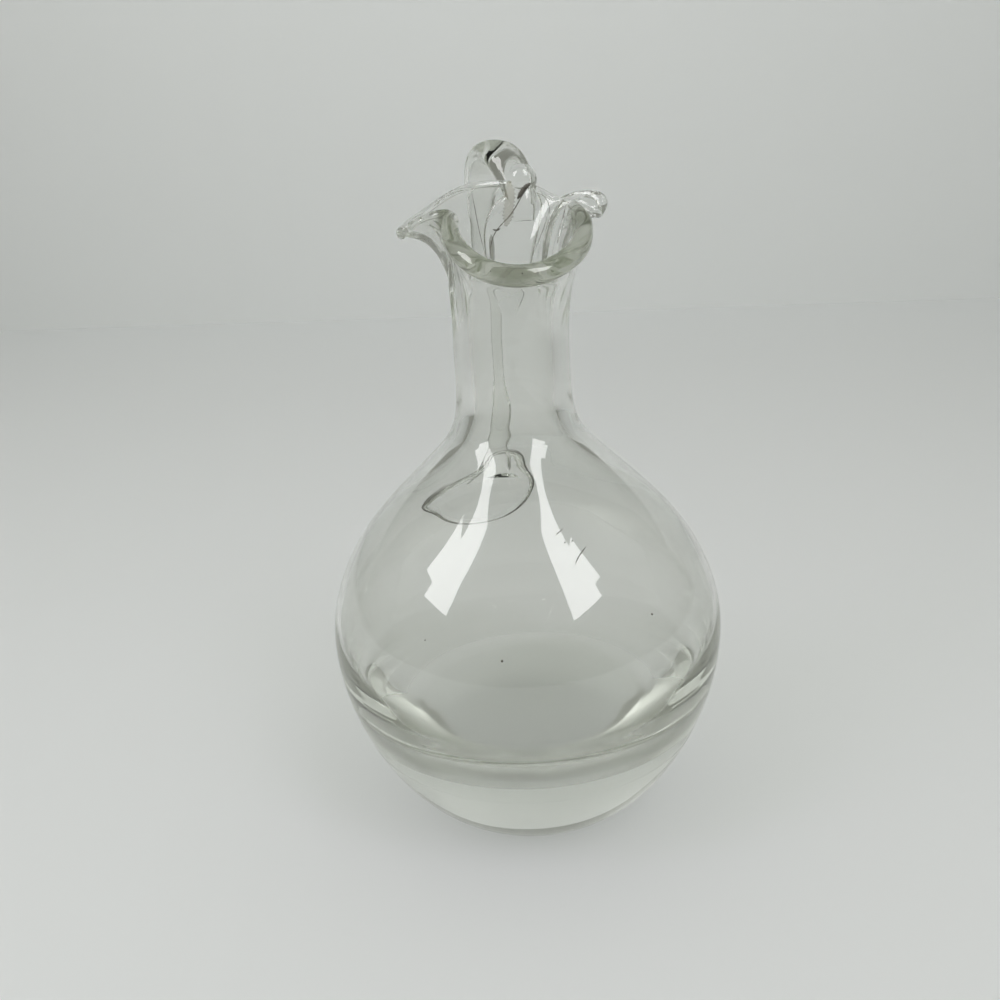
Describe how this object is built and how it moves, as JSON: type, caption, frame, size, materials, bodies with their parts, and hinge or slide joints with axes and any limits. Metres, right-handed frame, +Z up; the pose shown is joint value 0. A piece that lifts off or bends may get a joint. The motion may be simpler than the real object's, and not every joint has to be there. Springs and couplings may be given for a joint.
{
  "type": "oil cruet",
  "caption": "Clear hand-blown glass oil cruet with a round body, slim neck, three-lobed pouring lip and one looped applied handle.",
  "frame": {"origin": "centre of the flat resting disc under the body, on the neck's axis", "axes": "+Z up along the neck, pouring lip towards -Y, handle towards +Y"},
  "size_m": [0.0796, 0.0796, 0.1337],
  "materials": {
    "glass": "clear polished glass with a faint grey-green tint"
  },
  "bodies": {
    "root": {"cruet": "glass"}
  },
  "joints": []
}
